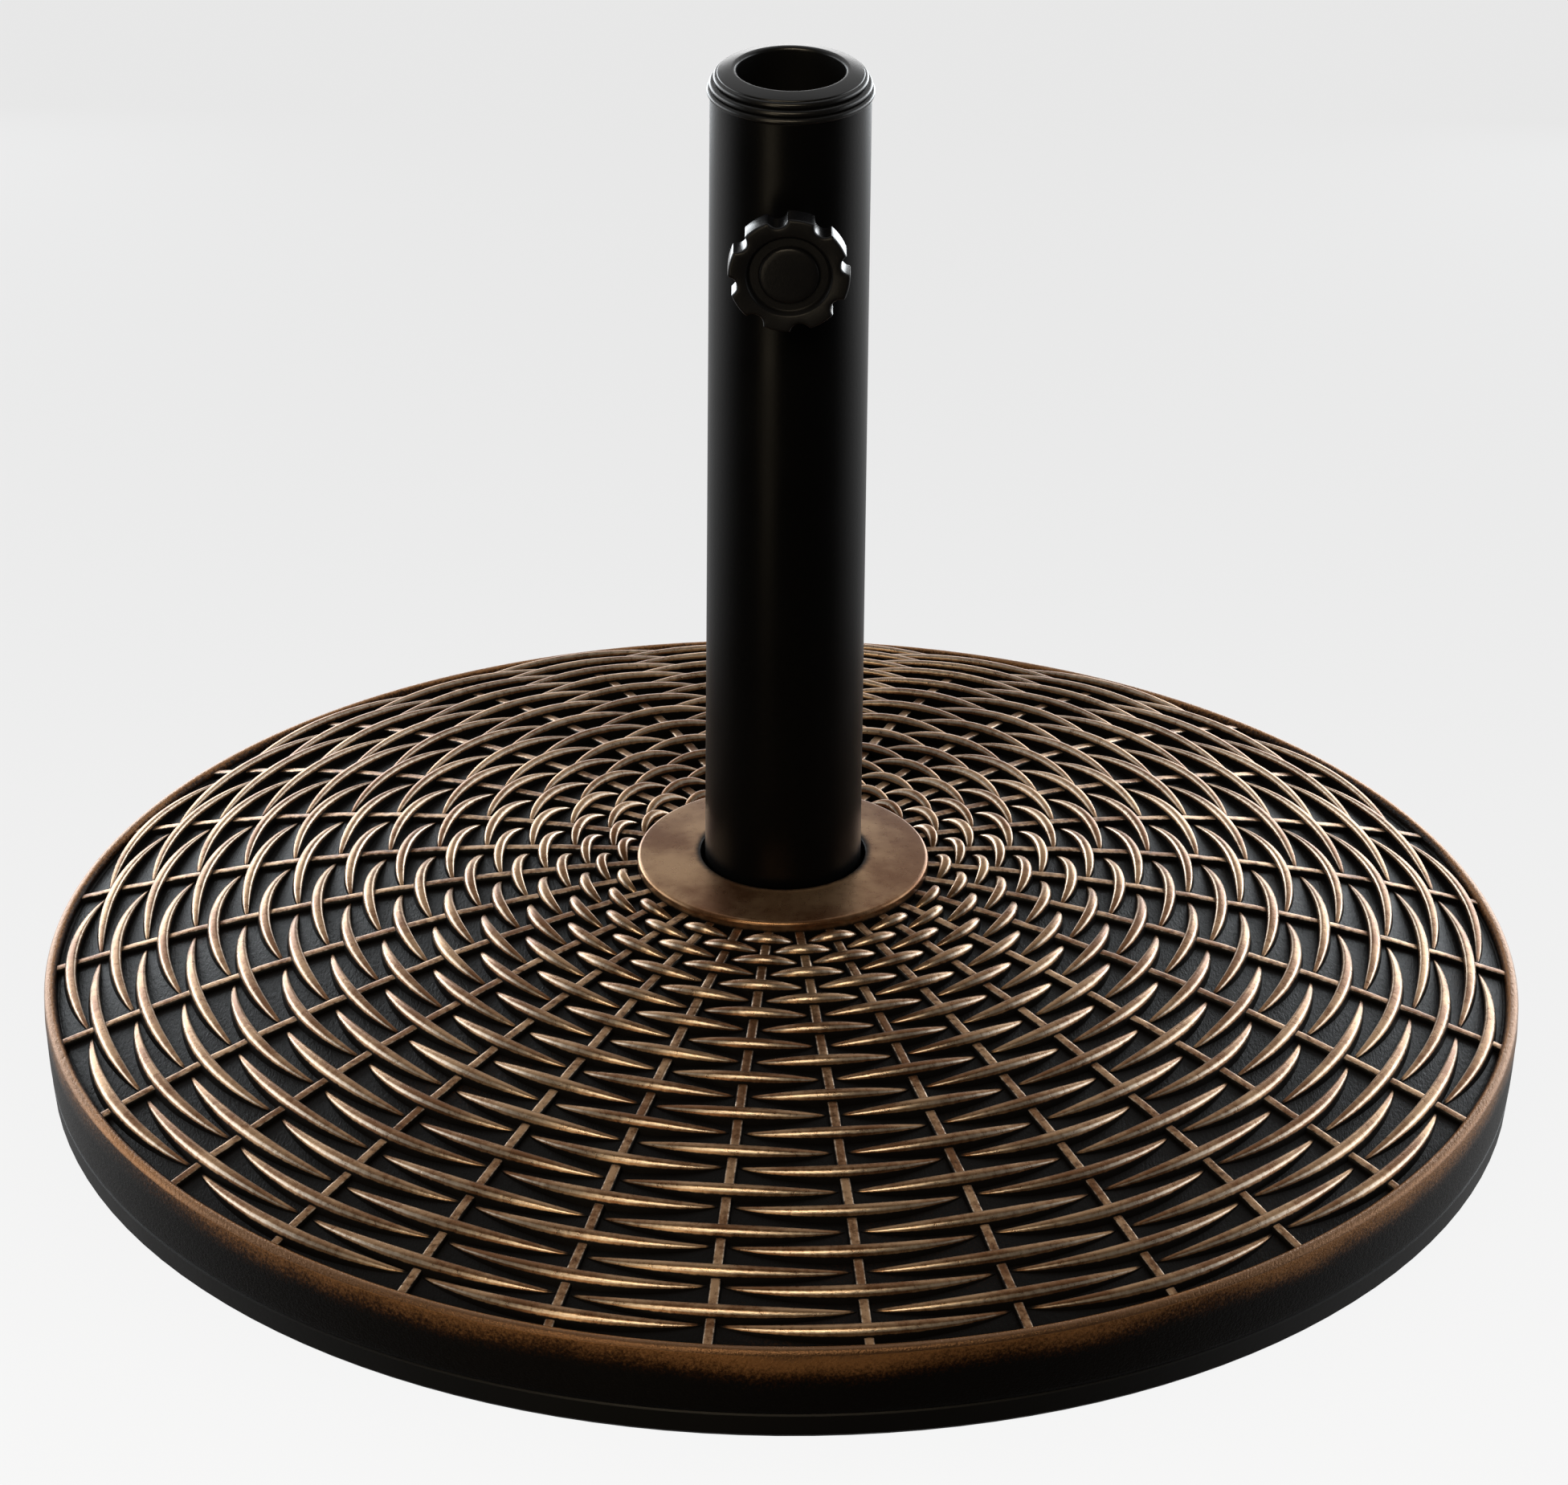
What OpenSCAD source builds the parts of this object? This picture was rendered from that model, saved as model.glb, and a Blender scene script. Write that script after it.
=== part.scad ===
// Parasol base: a cement-filled moulded disc with a wicker relief, a steel pole
// tube on an anchor bolt, a screw-down clamp knob and a lift-out reducer cap.
// Millimetres, +Z up, origin on the ground at the centre of the disc.

/* [Disc] */
// Widest diameter of the disc
base_d = 520; // [500:5:540]
// Height of the rim above the ground
rim_h = 36; // [35.8:0.1:36.4]
// Spherical radius of the woven top, measured on the crowns of the strands
dome_r = 757; // [754:0.5:760]
// Height at which the crown sphere would cross the axis
crown_h = 82.6; // [82.2:0.1:82.8]
// Wall thickness of the moulded cover
cover_wall = 4; // [3:0.5:5]
// Height of the joint between the cover and the bottom pan
seam_h = 10.4; // [10:0.2:11]
// Height that the pads lift the pan off the ground
pad_lift = 1; // [0.5:0.1:1]

/* [Weave] */
// Number of radial spokes, an even number
spoke_count = 30; // [28:2:32]
// Width of a spoke
spoke_w = 4.2; // [3:0.2:4.4]
// Height of a spoke above the floor of the weave
spoke_h = 2; // [1:0.2:2.4]
// Number of rings of strands
ring_count = 24; // [24]
// Radius of the innermost ring
ring_in_r = 57.3; // [57:0.1:58]
// Radius of the outermost ring
ring_out_r = 250.8; // [249:0.1:251]
// Width of a strand at its crown
strand_d = 4.4; // [4:0.1:4.6]
// Height of a strand's crown above the floor of the weave
strand_h = 4.8; // [4.6:0.1:5.2]
// Turn of the whole weave about the axis, degrees
weave_turn = 0.82; // [0:0.02:3]

/* [Hub] */
// Outside diameter of the hub ring
hub_d = 102; // [100:1:104]
// Height of the hub ring's outer edge above the ground
hub_h = 81.6; // [81:0.2:82.4]

/* [Tube] */
// Outside diameter of the pole tube
tube_d = 54.6; // [54:0.2:55]
// Wall thickness of the pole tube
tube_wall = 1.6; // [1.4:0.1:1.8]
// Height of the top of the tube above the ground
tube_top = 371; // [365:0.5:385]
// Diameter of the hole for the parasol pole
pole_bore_d = 36.8; // [35:0.2:37]
// Height of the reducer cap above the tube
cap_h = 9; // [9]
// Length of the reducer cap's sleeve inside the tube
sleeve_len = 28; // [20:1:30]

/* [Clamp knob] */
// Height of the clamp screw above the ground
knob_z = 326.3; // [320:0.1:330]
// Outside diameter of the knob over its lobes
knob_d = 41; // [39:0.5:42]
// Number of lobes on the knob
knob_lobes = 8; // [6:1:10]
// Thickness of the knob's lobed head
knob_t = 9.4; // [9:0.1:11]
// Distance from the tube's axis to the knob's front face
knob_face = 51; // [50.5:0.5:53]
// Turn of the lobes about the screw, degrees from +X towards +Z
knob_phase = 33.5; // [0:0.5:45]
// Nominal diameter of the clamp screw
screw_d = 8; // [8]

/* [Fixings] */
// Number of screws that hold the pan, and of pads between them
pan_fixings = 8; // [6:1:10]
// Radius of the circle of pan screws
pan_screw_r = 240; // [238:0.5:241]
// Radius of the circle of pads
pad_ring_r = 226; // [200:1:228]
// Diameter of the anchor bolt
anchor_d = 10; // [10]

/* [Hidden] */
$fn = 96;
eps = 0.02;
far = 2 * base_d;

// Disc
base_r = base_d / 2;
foot_r = base_r - 2.5;
foot_chamfer = 1.2;
seam_r = base_r - 1.6;
seam_chamfer = 0.6;
wide_z = 28.5;
rim_round = 2.2;
rim_in_r = base_r - 2 * rim_round - 0.1;
rim_z = rim_h - rim_round;
floor_r = dome_r - strand_h;
sphere_z = crown_h - dome_r;
inner_r = base_r - cover_wall;
pan_top = pad_lift + 3;
tongue_r = base_r - 6.4;
tongue_in_r = tongue_r - 3.4;
tongue_top = seam_h + 6;

// Weave
strand_r = strand_d / 2;
strand_gap = 2.4;
strand_lift = 0.15;
strand_droop = 0.8;
strand_station = 0.58;
shoulder_w = 0.74;
shoulder_h = 0.68;
ring_bulge = 67.6;
ring_bulge_at = 0.74;
strand_bow = 2.7;
outer_odd_bow = 4.6;
outer_rings = 9;
notch = strand_r + 0.3;

// Tube and hub
tube_r = tube_d / 2;
tube_in_r = tube_r - tube_wall;
pole_r = pole_bore_d / 2;
hub_r = hub_d / 2;
hub_lip = 1.4;
hub_rise = 1.6;
hub_hole_r = tube_r + 1.4;
hub_spigot_r = hub_hole_r + 2.5;
hub_hole_out_r = hub_spigot_r + 0.1;
hub_seat_z = hub_h - 7;
hub_spigot_z = hub_h - 13;

// Socket and anchor, as heights above the ground
press_gap = 0.05;
socket_clear = 0.15;
socket_r = tube_r + socket_clear;
socket_out_r = socket_r + 2.4;
socket_top = hub_spigot_z - 2;
well_in_r = 21;
well_out_r = 23.5;
well_in_z = 13;
well_top = 16;
tube_foot = well_top + 4;
plug_h = 20;
plug_bore = plug_h - 0.8;
plug_top = tube_foot + plug_h;
rest_floor = 3;
rest_h = 16;
rest_lead = 3;
rest_bore_r = pole_r;
anchor_r = anchor_d / 2;
anchor_hole_r = anchor_r + 0.5;
anchor_tip = plug_top - 1.5;
washer_gap = 0.25;
washer_r = 15;
washer_t = 2;
spring_r = 9;
spring_t = 2.2;
spring_split = 2;
head_h = 6.4;
head_af = 17;
head_z = well_in_z - washer_t - spring_t - head_h;
cover_disc_t = 1.2;
cover_skirt_h = 4;
cover_skirt_t = 2.4;

// Reducer cap
cap_r = tube_r + 1.1;
cap_ridge_t = 2.4;
cap_lip = 1.4;
sleeve_wall = 2.2;
skirt_r = tube_in_r - 0.2;
skirt_len = 16;

// Clamp, as distances from the tube's axis
screw_r = screw_d / 2;
screw_run_gap = 0.06;
screw_hole_gap = 0.3;
nut_af = 13;
nut_out = tube_r + 6;
neck_back = nut_out + 5.9;
neck_r = 8;
neck_l = knob_face - knob_t - neck_back;
knob_l = knob_face - neck_back;
knob_edge = 0.8;
dish_r = 14.3;
dish_deep = 2.2;
badge_r = 10.3;
badge_edge = 0.6;
badge_socket = 3.4;
lobe_cut_r = 3.4;
lobe_cut_at = knob_d / 2 + 0.9;
screw_head_h = 5;
clamp_pad_r = 5;
clamp_pad_t = 3;
clamp_back = 23.5;
spigot_r = 2.5;
spigot_l = 1.6;
spigot_end_gap = 0.2;

// Pan screws and pads
post_r = 5;
post_top = sphere_height(floor_r - cover_wall, pan_screw_r - post_r) + 0.4;
pan_boss_r = 7;
pan_boss_top = 7;
pan_hole_r = 2.2;
pan_head_r = 4.2;
pan_head_t = 2.6;
pan_slot_l = 5;
pan_slot_w = 1.2;
screw_shank_r = 1.9;
screw_len = 18;
counterbore_r = 4.6;
counterbore_top = 4.2;
pad_r = 14;
pad_gap = 0.1;
pad_pocket = 1.2;

// Height of a sphere about the dome's centre, at a distance from the axis
function sphere_height(radius, from_axis) = sphere_z + sqrt(pow(radius, 2) - pow(from_axis, 2));

// Radius of a ring of strands, ring 1 being the outermost; the rings open out
// a little faster near the rim than near the hub
function ring_place(k) = (ring_count - k) / (ring_count - 1);
function ring_radius(k) =
    let (t = ring_place(k))
    ring_in_r + (ring_out_r - ring_in_r) * t + ring_bulge * t * (t - ring_bulge_at) * (1 - t);

// Odd rings cross one half of the spokes, even rings cross the other half
function spoke_angle(i) = -90 + weave_turn + (i + 0.5) * 360 / spoke_count;
function crossed_spokes(k) = [for (i = [(k + 1) % 2 : 2 : spoke_count - 1]) i];

// How far a strand's tips lie inside its crown's radius: more on the outer odd rings
function ring_bow(k) = k % 2 == 1 && k <= outer_rings ? outer_odd_bow : strand_bow;

// Turns a part drawn along +Z so that it points along +Y, at the screw's height
module along_screw() {
    translate([0, 0, knob_z])
        rotate([-90, 0, 0])
            children();
}

// Region under a sphere about the dome's centre, as a half section
module under_sphere(radius, out_to, from_z) {
    intersection() {
        translate([0, sphere_z])
            circle(r = radius, $fn = 360);
        translate([0, from_z])
            square([out_to, base_r]);
    }
}

// Outer section of the cover, from the seam up to the rim bead and the floor of the weave
module cover_outline() {
    under_sphere(floor_r, rim_in_r, seam_h);
    polygon([
        [0, seam_h],
        [seam_r - seam_chamfer, seam_h],
        [seam_r, seam_h + seam_chamfer],
        [base_r, wide_z],
        [base_r, rim_z],
        [rim_in_r, rim_z],
        [rim_in_r, wide_z],
        [0, wide_z]
    ]);
    translate([base_r - rim_round, rim_z])
        circle(r = rim_round);
}

// Inner section of the cover, which the cement fills
module cavity_outline() {
    under_sphere(floor_r - cover_wall, inner_r, seam_h - 1);
}

// Section of the bottom pan, without its bosses and pockets
module pan_outline() {
    polygon([
        [well_in_r, pad_lift],
        [foot_r - foot_chamfer, pad_lift],
        [foot_r, pad_lift + foot_chamfer],
        [seam_r, seam_h - seam_chamfer],
        [seam_r - seam_chamfer, seam_h],
        [tongue_r, seam_h],
        [tongue_r, tongue_top],
        [tongue_in_r, tongue_top],
        [tongue_in_r, pan_top],
        [well_out_r, pan_top],
        [well_out_r, well_top],
        [anchor_hole_r, well_top],
        [anchor_hole_r, well_in_z],
        [well_in_r, well_in_z]
    ]);
}

module at_pan_screws() {
    for (i = [0 : pan_fixings - 1])
        rotate([0, 0, i * 360 / pan_fixings])
            translate([pan_screw_r, 0, 0])
                children();
}

module at_pads() {
    for (i = [0 : pan_fixings - 1])
        rotate([0, 0, (i + 0.5) * 360 / pan_fixings])
            translate([pad_ring_r, 0, 0])
                children();
}

module cover_shell() {
    color("#4a3a30")
        difference() {
            union() {
                rotate_extrude()
                    difference() {
                        cover_outline();
                        cavity_outline();
                        square([hub_hole_out_r, base_r]);
                    }
                at_pan_screws()
                    translate([0, 0, pan_boss_top])
                        cylinder(r = post_r, h = post_top - pan_boss_top);
            }
            at_pan_screws()
                translate([0, 0, pan_boss_top - 1])
                    cylinder(r = screw_shank_r + 0.05, h = screw_len);
        }
}

// Rings of one half of the spokes, as notches where the strands cross
module spoke_section(half) {
    difference() {
        intersection() {
            difference() {
                translate([0, sphere_z])
                    circle(r = floor_r + spoke_h, $fn = 360);
                translate([0, sphere_z])
                    circle(r = floor_r + eps, $fn = 360);
            }
            translate([hub_r + 0.1, 0])
                square([rim_in_r - hub_r - 0.1 - eps, base_r]);
        }
        for (k = [1 : ring_count])
            if (k % 2 == half)
                translate([ring_radius(k) - notch, 0])
                    square([2 * notch, base_r]);
    }
}

module weave_spokes() {
    color("#9a7358")
        for (half = [0, 1])
            intersection() {
                rotate_extrude()
                    spoke_section(half);
                for (i = crossed_spokes(half))
                    rotate([0, 0, spoke_angle(i)])
                        translate([0, -spoke_w / 2, 0])
                            cube([base_r, spoke_w, base_r]);
            }
}

// Point of the weave at a ring radius, an angle along the ring and a height above the floor
function weave_point(radius, angle, height) = [
    radius * cos(angle),
    radius * sin(angle),
    sphere_height(floor_r, radius) + height
];

// Section of a strand at a place along it, from -1 at one tip to 1 at the other: two
// points on the floor, two shoulders and the crown
function strand_section(radius, bow, half_span, place) =
    let (half_w = strand_r * sqrt(1 - pow(place, 2)))
    let (crown = strand_h * (1 - strand_droop * pow(place, 2)))
    let (angle = half_span * place)
    let (middle = radius - bow * pow(place, 2))
    [
        weave_point(middle - half_w, angle, strand_lift),
        weave_point(middle + half_w, angle, strand_lift),
        weave_point(middle + shoulder_w * half_w, angle, shoulder_h * crown),
        weave_point(middle, angle, crown),
        weave_point(middle - shoulder_w * half_w, angle, shoulder_h * crown)
    ];

// Triangles of a bar of 5-point sections between two tip points; point 0 is the first tip
function fan(tip, first, turn) = [
    for (j = [0 : 4])
        turn ? [tip, first + j, first + (j + 1) % 5] : [tip, first + (j + 1) % 5, first + j]
];
function band(first) = [
    for (j = [0 : 4], half = [0, 1])
        half == 0 ? [first + j, first + 5 + j, first + (j + 1) % 5]
                  : [first + (j + 1) % 5, first + 5 + j, first + 5 + (j + 1) % 5]
];

module strand(radius, bow) {
    half_span = 360 / spoke_count - strand_gap / radius * 180 / PI;
    places = [-strand_station, 0, strand_station];
    sections = [for (place = places) each strand_section(radius, bow, half_span, place)];
    last_tip = len(sections) + 1;
    polyhedron(
        points = [
            weave_point(radius - bow, -half_span, strand_lift),
            each sections,
            weave_point(radius - bow, half_span, strand_lift)
        ],
        faces = [
            each fan(0, 1, true),
            each band(1),
            each band(6),
            each fan(last_tip, last_tip - 5, false)
        ]
    );
}

module strand_rings(first, last) {
    for (k = [first : last], i = crossed_spokes(k))
        rotate([0, 0, spoke_angle(i)])
            strand(ring_radius(k), ring_bow(k));
}

module outer_strands() {
    color("#b08a6c")
        strand_rings(1, 8);
}

module middle_strands() {
    color("#b08a6c")
        strand_rings(9, 16);
}

module inner_strands() {
    color("#b08a6c")
        strand_rings(17, 24);
}

module hub_ring() {
    color("#8a5f45")
        rotate_extrude()
            difference() {
                union() {
                    polygon([
                        [hub_hole_r, hub_spigot_z],
                        [hub_spigot_r, hub_spigot_z],
                        [hub_spigot_r, hub_seat_z],
                        [hub_r, hub_seat_z],
                        [hub_r, hub_h - hub_lip],
                        [hub_r - hub_lip, hub_h],
                        [hub_hole_r + hub_lip, hub_h + hub_rise],
                        [hub_hole_r, hub_h + hub_rise - hub_lip]
                    ]);
                    translate([hub_r - hub_lip, hub_h - hub_lip])
                        circle(r = hub_lip);
                }
                difference() {
                    translate([0, sphere_z])
                        circle(r = floor_r, $fn = 360);
                    square([hub_spigot_r, base_r]);
                }
            }
}

module bottom_pan() {
    color("#1c1a19")
        difference() {
            union() {
                rotate_extrude()
                    pan_outline();
                at_pan_screws()
                    translate([0, 0, pad_lift])
                        cylinder(r = pan_boss_r, h = pan_boss_top - pad_lift);
            }
            at_pan_screws() {
                cylinder(r = pan_hole_r, h = far);
                cylinder(r = counterbore_r, h = counterbore_top);
            }
            at_pads()
                cylinder(r = pad_r + pad_gap, h = pad_lift + pad_pocket);
        }
}

module cement_fill() {
    color("#8f8b84")
        difference() {
            rotate_extrude()
                difference() {
                    union() {
                        cavity_outline();
                        translate([0, pan_top])
                            square([tongue_in_r, seam_h]);
                    }
                    square([well_out_r, well_top]);
                    square([socket_out_r, base_r]);
                    translate([0, hub_spigot_z])
                        square([hub_hole_out_r, base_r]);
                    translate([tongue_in_r, 0])
                        square([base_r, tongue_top]);
                }
            at_pan_screws() {
                cylinder(r = pan_boss_r, h = pan_boss_top);
                cylinder(r = post_r, h = base_r);
            }
        }
}

module pan_screws() {
    color("#b9b9b4")
        at_pan_screws()
            translate([0, 0, counterbore_top - pan_head_t])
                difference() {
                    union() {
                        cylinder(r = pan_head_r, h = pan_head_t);
                        cylinder(r = screw_shank_r, h = pan_head_t + screw_len);
                    }
                    for (turn = [0, 90])
                        rotate([0, 0, turn])
                            translate([-pan_slot_l / 2, -pan_slot_w / 2, -eps])
                                cube([pan_slot_l, pan_slot_w, pan_head_t / 2]);
                }
}

module rubber_pads() {
    color("#202020")
        at_pads()
            cylinder(r = pad_r, h = pad_lift + pad_pocket);
}

module socket_cup() {
    color("#3a3a3c")
        rotate_extrude()
            polygon([
                [anchor_hole_r, well_top],
                [socket_out_r, well_top],
                [socket_out_r, socket_top],
                [socket_r, socket_top],
                [socket_r, tube_foot],
                [anchor_hole_r, tube_foot]
            ]);
}

module pole_tube() {
    color("#1a1a1b")
        difference() {
            translate([0, 0, tube_foot])
                cylinder(r = tube_r, h = tube_top - tube_foot, $fn = 180);
            translate([0, 0, tube_foot - 1])
                cylinder(r = tube_in_r, h = tube_top - tube_foot + 2, $fn = 180);
            along_screw()
                translate([0, 0, -tube_d])
                    cylinder(r = screw_r + screw_hole_gap, h = tube_d);
        }
}

module tube_plug() {
    color("#77787a")
        translate([0, 0, tube_foot])
            difference() {
                cylinder(r = tube_in_r - press_gap, h = plug_h);
                translate([0, 0, -1])
                    cylinder(r = anchor_r + press_gap, h = plug_bore + 1);
            }
}

module pole_rest() {
    color("#232324")
        translate([0, 0, plug_top])
            rotate_extrude()
                polygon([
                    [0, 0],
                    [tube_in_r - socket_clear, 0],
                    [tube_in_r - socket_clear, rest_h],
                    [rest_bore_r + rest_lead, rest_h],
                    [rest_bore_r, rest_h - rest_lead],
                    [rest_bore_r, rest_floor],
                    [0, rest_floor]
                ]);
}

module anchor_bolt() {
    color("#a9abad")
        union() {
            translate([0, 0, head_z])
                cylinder(r = head_af / 2 / cos(30), h = head_h, $fn = 6);
            translate([0, 0, head_z])
                cylinder(r = anchor_r, h = anchor_tip - head_z);
        }
}

module spring_washer() {
    color("#8e9092")
        translate([0, 0, head_z + head_h])
            difference() {
                cylinder(r = spring_r, h = spring_t);
                translate([0, 0, -1])
                    cylinder(r = anchor_r + washer_gap, h = spring_t + 2);
                translate([0, -spring_split / 2, -1])
                    cube([spring_r + 1, spring_split, spring_t + 2]);
            }
}

module anchor_washer() {
    color("#a0a2a4")
        translate([0, 0, well_in_z - washer_t])
            difference() {
                cylinder(r = washer_r, h = washer_t);
                translate([0, 0, -1])
                    cylinder(r = anchor_r + washer_gap, h = washer_t + 2);
            }
}

module bolt_cover() {
    color("#1c1a19")
        translate([0, 0, pad_lift])
            rotate_extrude()
                polygon([
                    [0, 0],
                    [well_in_r - press_gap, 0],
                    [well_in_r - press_gap, cover_skirt_h],
                    [well_in_r - cover_skirt_t, cover_skirt_h],
                    [well_in_r - cover_skirt_t, cover_disc_t],
                    [0, cover_disc_t]
                ]);
}

// One rounded ridge of the cap: its outer radius, the height of its foot and its thickness
module cap_ridge(out_r, foot_z, thick) {
    translate([out_r - thick / 2, foot_z + thick / 2])
        circle(r = thick / 2);
    translate([pole_r, foot_z])
        square([out_r - thick / 2 - pole_r, thick]);
}

module top_cap() {
    color("#161616")
        rotate_extrude()
            translate([0, tube_top])
                difference() {
                    union() {
                        cap_ridge(cap_r, 0, cap_ridge_t);
                        cap_ridge(cap_r - 0.8, cap_ridge_t, cap_ridge_t);
                        cap_ridge(cap_r - 2.2, 2 * cap_ridge_t, cap_ridge_t);
                        polygon([
                            [pole_r, 3 * cap_ridge_t],
                            [cap_r - 3.4, 3 * cap_ridge_t],
                            [pole_r + cap_lip, cap_h],
                            [pole_r + cap_lip / 2, cap_h],
                            [pole_r, cap_h - cap_lip / 2]
                        ]);
                        translate([pole_r, -sleeve_len])
                            square([sleeve_wall, sleeve_len]);
                        translate([skirt_r - sleeve_wall, -skirt_len])
                            square([sleeve_wall, skirt_len]);
                    }
                    translate([pole_r + sleeve_wall, -1])
                        square([skirt_r - pole_r - 2 * sleeve_wall, cap_ridge_t]);
                }
}

module weld_nut() {
    color("#1a1a1b")
        difference() {
            along_screw()
                translate([0, 0, -nut_out])
                    difference() {
                        cylinder(r = nut_af / 2 / cos(30), h = nut_out - tube_in_r, $fn = 6);
                        translate([0, 0, -1])
                            cylinder(r = screw_r + screw_run_gap, h = far);
                    }
            cylinder(r = tube_r, h = far, $fn = 180);
        }
}

// Outline of the knob: a disc with round notches between its lobes
module lobe_outline() {
    difference() {
        circle(r = knob_d / 2, $fn = 180);
        for (i = [0 : knob_lobes - 1])
            rotate([0, 0, -knob_phase + (i + 0.5) * 360 / knob_lobes])
                translate([lobe_cut_at, 0])
                    circle(r = lobe_cut_r);
    }
}

// Half section of the knob from its back (0) towards its face
module knob_section() {
    head_r = knob_d / 2;
    polygon([
        [screw_r, 0],
        [neck_r, 0],
        [neck_r, neck_l],
        [head_r - knob_edge, neck_l],
        [head_r, neck_l + knob_edge],
        [head_r, knob_l - knob_edge],
        [head_r - knob_edge, knob_l],
        [dish_r, knob_l],
        [dish_r - knob_edge, knob_l - dish_deep],
        [badge_r, knob_l - dish_deep],
        [badge_r, knob_l - badge_socket],
        [screw_r, knob_l - badge_socket]
    ]);
}

module knob_body() {
    color("#18181a")
        along_screw()
            translate([0, 0, -knob_face])
                mirror([0, 0, 1])
                    translate([0, 0, -knob_l])
                        difference() {
                            intersection() {
                                rotate_extrude($fn = 180)
                                    knob_section();
                                linear_extrude(height = knob_l)
                                    lobe_outline();
                            }
                            translate([0, 0, knob_l - badge_socket - screw_head_h])
                                cylinder(r = nut_af / 2 / cos(30), h = screw_head_h, $fn = 6);
                        }
}

module knob_cap() {
    color("#202022")
        along_screw()
            translate([0, 0, -knob_face])
                rotate_extrude()
                    polygon([
                        [0, 0],
                        [badge_r - badge_edge, 0],
                        [badge_r - press_gap, badge_edge],
                        [badge_r - press_gap, badge_socket],
                        [0, badge_socket]
                    ]);
}

module knob_screw() {
    color("#9c9ea0")
        along_screw()
            union() {
                translate([0, 0, -knob_face + badge_socket])
                    cylinder(r = nut_af / 2 / cos(30), h = screw_head_h, $fn = 6);
                translate([0, 0, -knob_face + badge_socket])
                    cylinder(r = screw_r, h = knob_face - badge_socket - clamp_back);
                translate([0, 0, -clamp_back - eps])
                    cylinder(r = spigot_r, h = spigot_l + eps);
            }
}

module clamp_pad() {
    color("#3c3c3a")
        along_screw()
            translate([0, 0, -clamp_back])
                difference() {
                    cylinder(r = clamp_pad_r, h = clamp_pad_t);
                    translate([0, 0, -1])
                        cylinder(r = spigot_r + screw_run_gap, h = spigot_l + spigot_end_gap + 1);
                }
}

cover_shell();
weave_spokes();
outer_strands();
middle_strands();
inner_strands();
hub_ring();
bottom_pan();
cement_fill();
pan_screws();
rubber_pads();
socket_cup();
pole_tube();
tube_plug();
pole_rest();
anchor_bolt();
spring_washer();
anchor_washer();
bolt_cover();
top_cap();
weld_nut();
knob_body();
knob_cap();
knob_screw();
clamp_pad();
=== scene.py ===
import math
import random

import bpy
from mathutils import Matrix, Vector


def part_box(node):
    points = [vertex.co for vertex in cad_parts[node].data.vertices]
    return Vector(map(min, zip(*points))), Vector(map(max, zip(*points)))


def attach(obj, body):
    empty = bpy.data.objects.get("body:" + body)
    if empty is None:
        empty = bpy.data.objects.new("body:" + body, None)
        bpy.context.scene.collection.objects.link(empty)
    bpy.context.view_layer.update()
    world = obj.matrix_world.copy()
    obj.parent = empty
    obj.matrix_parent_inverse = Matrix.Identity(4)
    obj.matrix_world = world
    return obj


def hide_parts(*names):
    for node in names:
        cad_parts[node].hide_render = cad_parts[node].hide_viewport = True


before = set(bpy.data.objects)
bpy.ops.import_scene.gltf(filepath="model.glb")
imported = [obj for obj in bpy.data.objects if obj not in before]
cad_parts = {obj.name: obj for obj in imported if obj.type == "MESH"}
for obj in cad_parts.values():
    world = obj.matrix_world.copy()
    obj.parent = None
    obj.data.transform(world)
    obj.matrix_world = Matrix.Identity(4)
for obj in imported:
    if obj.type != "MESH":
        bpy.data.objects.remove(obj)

# The looks of a parasol base, in metres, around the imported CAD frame: a moulded
# disc with a wicker relief in dry-brushed bronze, a satin black pole tube with
# its reducer cap, and a glossy clamp knob.

MM = 0.001
TAU = 2 * math.pi
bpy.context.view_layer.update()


def low(node):
    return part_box(node)[0]


def high(node):
    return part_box(node)[1]


# ---------------------------------------------------------------- sizes

# Disc, its crown sphere and its rim bead
BASE_R = high("cover_shell").x
SEAM_Z = 10.4 * MM
WIDE_Z = 28.5 * MM
RIM_Z = 36.0 * MM
BEAD_R = 2.2 * MM
COVER_WALL = 4.0 * MM
CROWN_R = 757.0 * MM
CROWN_Z = 82.6 * MM
SPHERE_Z = CROWN_Z - CROWN_R
STRAND_H = 4.8 * MM
FLOOR_R = CROWN_R - STRAND_H

# Weave
SPOKES = 30
SPOKE_W = 4.2 * MM
SPOKE_H = 2.0 * MM
RINGS = 24
RING_IN_R = 57.3 * MM
RING_OUT_R = 250.8 * MM
RING_BULGE = 67.6 * MM
RING_BULGE_AT = 0.74
STRAND_W = 4.4 * MM
STRAND_GAP = 2.4 * MM
WIDE_BOW = 4.6 * MM
BOW = 2.7 * MM
WIDE_BOW_LAST = 9
WEAVE_TURN = math.radians(0.82)
SUNK = 0.5 * MM

# Hub ring, pole tube and cap
HUB_R = high("hub_ring").x
HUB_TOP = high("hub_ring").z
HUB_EDGE_Z = HUB_TOP - 1.6 * MM
HUB_FOOT_Z = low("hub_ring").z
TUBE_R = high("pole_tube").x
TUBE_TOP = high("pole_tube").z
CAP_TOP = high("top_cap").z
POLE_R = 18.4 * MM

# Clamp: its axis is parallel to Y at this height
KNOB_Z = (low("knob_body").z + high("knob_body").z) / 2
KNOB_FACE_Y = low("knob_body").y
KNOB_BACK_Y = high("knob_body").y
KNOB_R = high("knob_body").x
KNOB_LOBES = 8


def sphere_z(radius, from_axis):
    """Height of a sphere about the dome's centre at a distance from the axis."""
    return SPHERE_Z + math.sqrt(radius * radius - from_axis * from_axis)


def floor_z(from_axis):
    return sphere_z(FLOOR_R, from_axis)


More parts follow.
